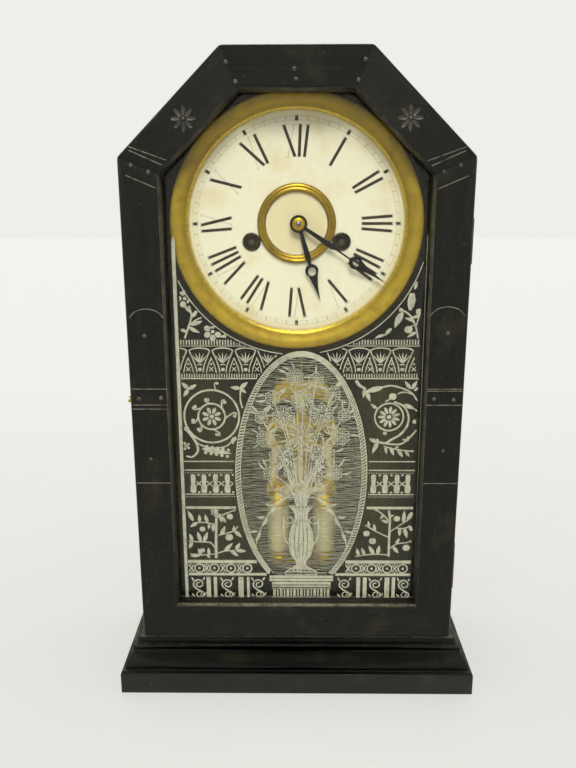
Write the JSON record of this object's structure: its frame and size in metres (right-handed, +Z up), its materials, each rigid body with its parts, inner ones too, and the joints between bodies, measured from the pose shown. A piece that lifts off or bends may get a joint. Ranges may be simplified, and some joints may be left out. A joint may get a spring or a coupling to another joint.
{
  "type": "shelf clock",
  "caption": "Ebonised shelf clock: slanted-shoulder case on a moulded base, full-front glazed door, round Roman dial and a twin-vial pendulum behind the glass.",
  "frame": {"origin": "on the surface the clock stands on, under the middle of its outer box", "axes": "+X to the viewer's right, +Y from the dial to the back board, +Z up"},
  "size_m": [0.2844, 0.122, 0.4903],
  "materials": {
    "ebonised_wood": "ebonised, satin, worn at the arrises",
    "bare_wood": "bare, aged softwood",
    "glass": "clear pane",
    "putty": "hardened glazing putty",
    "brass": "lacquered, aged yellow brass",
    "dull_brass": "tarnished thin brass",
    "dial_paper": "aged cream dial paper",
    "blued_steel": "blued to near black",
    "steel": "plain turned steel",
    "silvered_vial": "glass vial silvered inside"
  },
  "bodies": {
    "case": {"base_left_moulding": "ebonised_wood", "base_front_moulding": "ebonised_wood", "base_right_moulding": "ebonised_wood", "base_back_rail": "bare_wood", "case_bottom_board": "ebonised_wood", "case_right_board": "ebonised_wood", "case_right_shoulder_board": "ebonised_wood", "case_top_board": "ebonised_wood", "case_left_shoulder_board": "ebonised_wood", "case_left_board": "ebonised_wood", "case_back_board": "bare_wood", "dial_cleat_left": "bare_wood", "dial_cleat_right": "bare_wood", "upper_hinge_case_leaf": "brass", "upper_hinge_pin": "brass", "lower_hinge_case_leaf": "brass", "lower_hinge_pin": "brass", "catch_pivot_screw": "brass", "dial_pan": "dull_brass", "dial_paper": "dial_paper", "bezel": "brass", "dial_centre_ring": "brass", "movement_front_plate": "brass", "movement_back_plate": "brass", "bell": "steel"},
    "door": {"door_bottom_rail": "ebonised_wood", "door_right_stile": "ebonised_wood", "door_right_shoulder_rail": "ebonised_wood", "door_top_rail": "ebonised_wood", "door_left_shoulder_rail": "ebonised_wood", "door_left_stile": "ebonised_wood", "door_glass": "glass", "glazing_putty": "putty", "upper_hinge_door_leaf": "brass", "lower_hinge_door_leaf": "brass", "catch_door_pin": "brass"},
    "catch": {"catch_hook": "brass"},
    "minute_arbor": {"centre_arbor": "steel", "minute_hand": "blued_steel", "hand_collet": "brass"},
    "hour_pipe": {"hour_wheel": "brass", "hour_hand": "blued_steel"},
    "minute_wheel": {"minute_wheel": "brass"},
    "time_winding": {"time_winding_arbor": "steel"},
    "strike_winding": {"strike_winding_arbor": "steel"},
    "pendulum": {"pendulum_rod": "brass", "pendulum_crest": "brass", "pendulum_vial_left": "silvered_vial", "pendulum_vial_right": "silvered_vial", "pendulum_cups": "brass"},
    "rating_nut": {"rating_nut": "brass"},
    "escape_wheel": {"escape_wheel": "brass"},
    "strike_hammer": {"strike_hammer": "steel"},
    "verge": {"verge_and_crutch": "steel"}
  },
  "joints": [
    {"name": "door_hinge", "type": "hinge", "parent": "case", "child": "door", "pos_m": [0.1271, -0.0277, 0.2], "axis": [0, 0, 1], "range_deg": [0, 170]},
    {"name": "catch_turn", "type": "hinge", "parent": "case", "child": "catch", "pos_m": [-0.1262, -0.0228, 0.2395], "axis": [-1, 0, 0], "range_deg": [0, 90]},
    {"name": "minute_arbor_turn", "type": "hinge", "parent": "case", "child": "minute_arbor", "pos_m": [0.0014, -0.0204, 0.372], "axis": [0, 1, 0], "continuous": true},
    {"name": "hour_pipe_turn", "type": "hinge", "parent": "case", "child": "hour_pipe", "pos_m": [0.0014, -0.0204, 0.372], "axis": [0, 1, 0], "continuous": true},
    {"name": "minute_wheel_turn", "type": "hinge", "parent": "case", "child": "minute_wheel", "pos_m": [-0.00878, 0.009, 0.38218], "axis": [0, 1, 0], "continuous": true},
    {"name": "time_winding_turn", "type": "hinge", "parent": "case", "child": "time_winding", "pos_m": [0.0335, 0.003, 0.3587], "axis": [0, 1, 0], "continuous": true},
    {"name": "strike_winding_turn", "type": "hinge", "parent": "case", "child": "strike_winding", "pos_m": [-0.0335, 0.003, 0.3587], "axis": [0, 1, 0], "continuous": true},
    {"name": "pendulum_swing", "type": "hinge", "parent": "case", "child": "pendulum", "pos_m": [0.004, -0.005, 0.424], "axis": [0, 1, 0], "range_deg": [-5, 5]},
    {"name": "rating_nut_turn", "type": "hinge", "parent": "pendulum", "child": "rating_nut", "pos_m": [0.004, -0.005, 0.0864], "axis": [0, 0, 1], "continuous": true},
    {"name": "escape_wheel_turn", "type": "hinge", "parent": "case", "child": "escape_wheel", "pos_m": [0.004, 0.001, 0.406], "axis": [0, 1, 0], "continuous": true},
    {"name": "strike_hammer_lift", "type": "hinge", "parent": "case", "child": "strike_hammer", "pos_m": [-0.022, 0.0467, 0.338], "axis": [0, -1, 0], "range_deg": [0, 15]},
    {"name": "verge_rock", "type": "hinge", "parent": "case", "child": "verge", "pos_m": [0.004, 0.001, 0.424], "axis": [0, 1, 0], "range_deg": [-5, 5]}
  ],
  "couplings": [
    {"joint": "hour_pipe_turn", "follows": "minute_arbor_turn", "ratio": 0.083333},
    {"joint": "minute_wheel_turn", "follows": "minute_arbor_turn", "ratio": -0.33333},
    {"joint": "verge_rock", "follows": "pendulum_swing", "ratio": 1}
  ]
}
